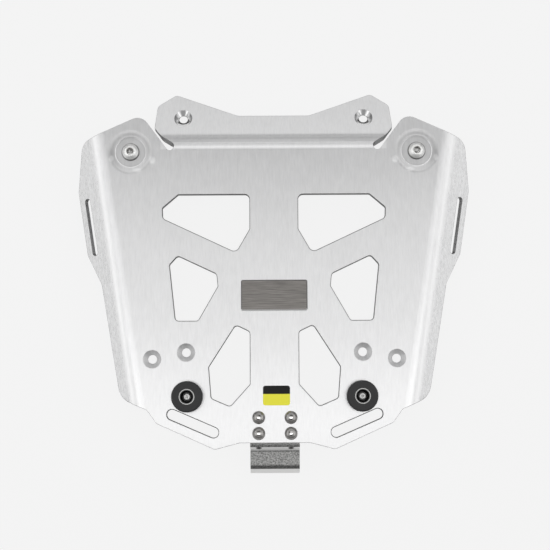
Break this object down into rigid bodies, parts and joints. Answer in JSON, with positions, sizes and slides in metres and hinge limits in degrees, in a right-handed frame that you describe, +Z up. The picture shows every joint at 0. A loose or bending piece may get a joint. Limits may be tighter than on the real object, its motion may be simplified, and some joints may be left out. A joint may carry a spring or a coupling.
{
  "type": "motorcycle luggage rack top plate",
  "caption": "Folded brushed aluminium motorcycle luggage rack plate with windows, strap slots, joggled mounting tab, rubber pads and an adjustable latch tongue.",
  "frame": {"origin": "midway between the two inner countersunk holes of the deck, at the sheet's lower face", "axes": "+X to the rack's right seen from above with the tab away from the viewer, +Y forward towards the joggled mounting tab, +Z up out of the deck"},
  "size_m": [0.3248, 0.3178, 0.041],
  "materials": {
    "plate": "brushed along the length, satin",
    "latch": "rough blasted stainless",
    "screws": "polished stainless",
    "washers": "plain stainless",
    "nuts": "plain stainless",
    "rubber": "matt moulded",
    "cups": "turned",
    "badge": "brushed across",
    "label": "printed film, plain fields"
  },
  "bodies": {
    "rack": {"blank_label": "label", "ear_screw_left": "screws", "ear_screw_right": "screws", "latch_nut_1": "nuts", "latch_nut_2": "nuts", "latch_nut_3": "nuts", "latch_nut_4": "nuts", "latch_screw_1": "screws", "latch_screw_2": "screws", "latch_screw_3": "screws", "latch_screw_4": "screws", "latch_washer_1": "washers", "latch_washer_2": "washers", "latch_washer_3": "washers", "latch_washer_4": "washers", "name_plate": "badge", "pad_cup_left": "cups", "pad_cup_right": "cups", "pad_nut_left": "nuts", "pad_nut_right": "nuts", "pad_rubber_left": "rubber", "pad_rubber_right": "rubber", "pad_screw_left": "screws", "pad_screw_right": "screws", "pad_washer_left": "washers", "pad_washer_right": "washers", "rack_plate": "plate"},
    "latch": {"latch_plate": "latch"}
  },
  "joints": [
    {"name": "latch_adjust", "type": "slide", "parent": "rack", "child": "latch", "axis": [0, 1, 0], "range_m": [-0.004, 0.002]}
  ]
}
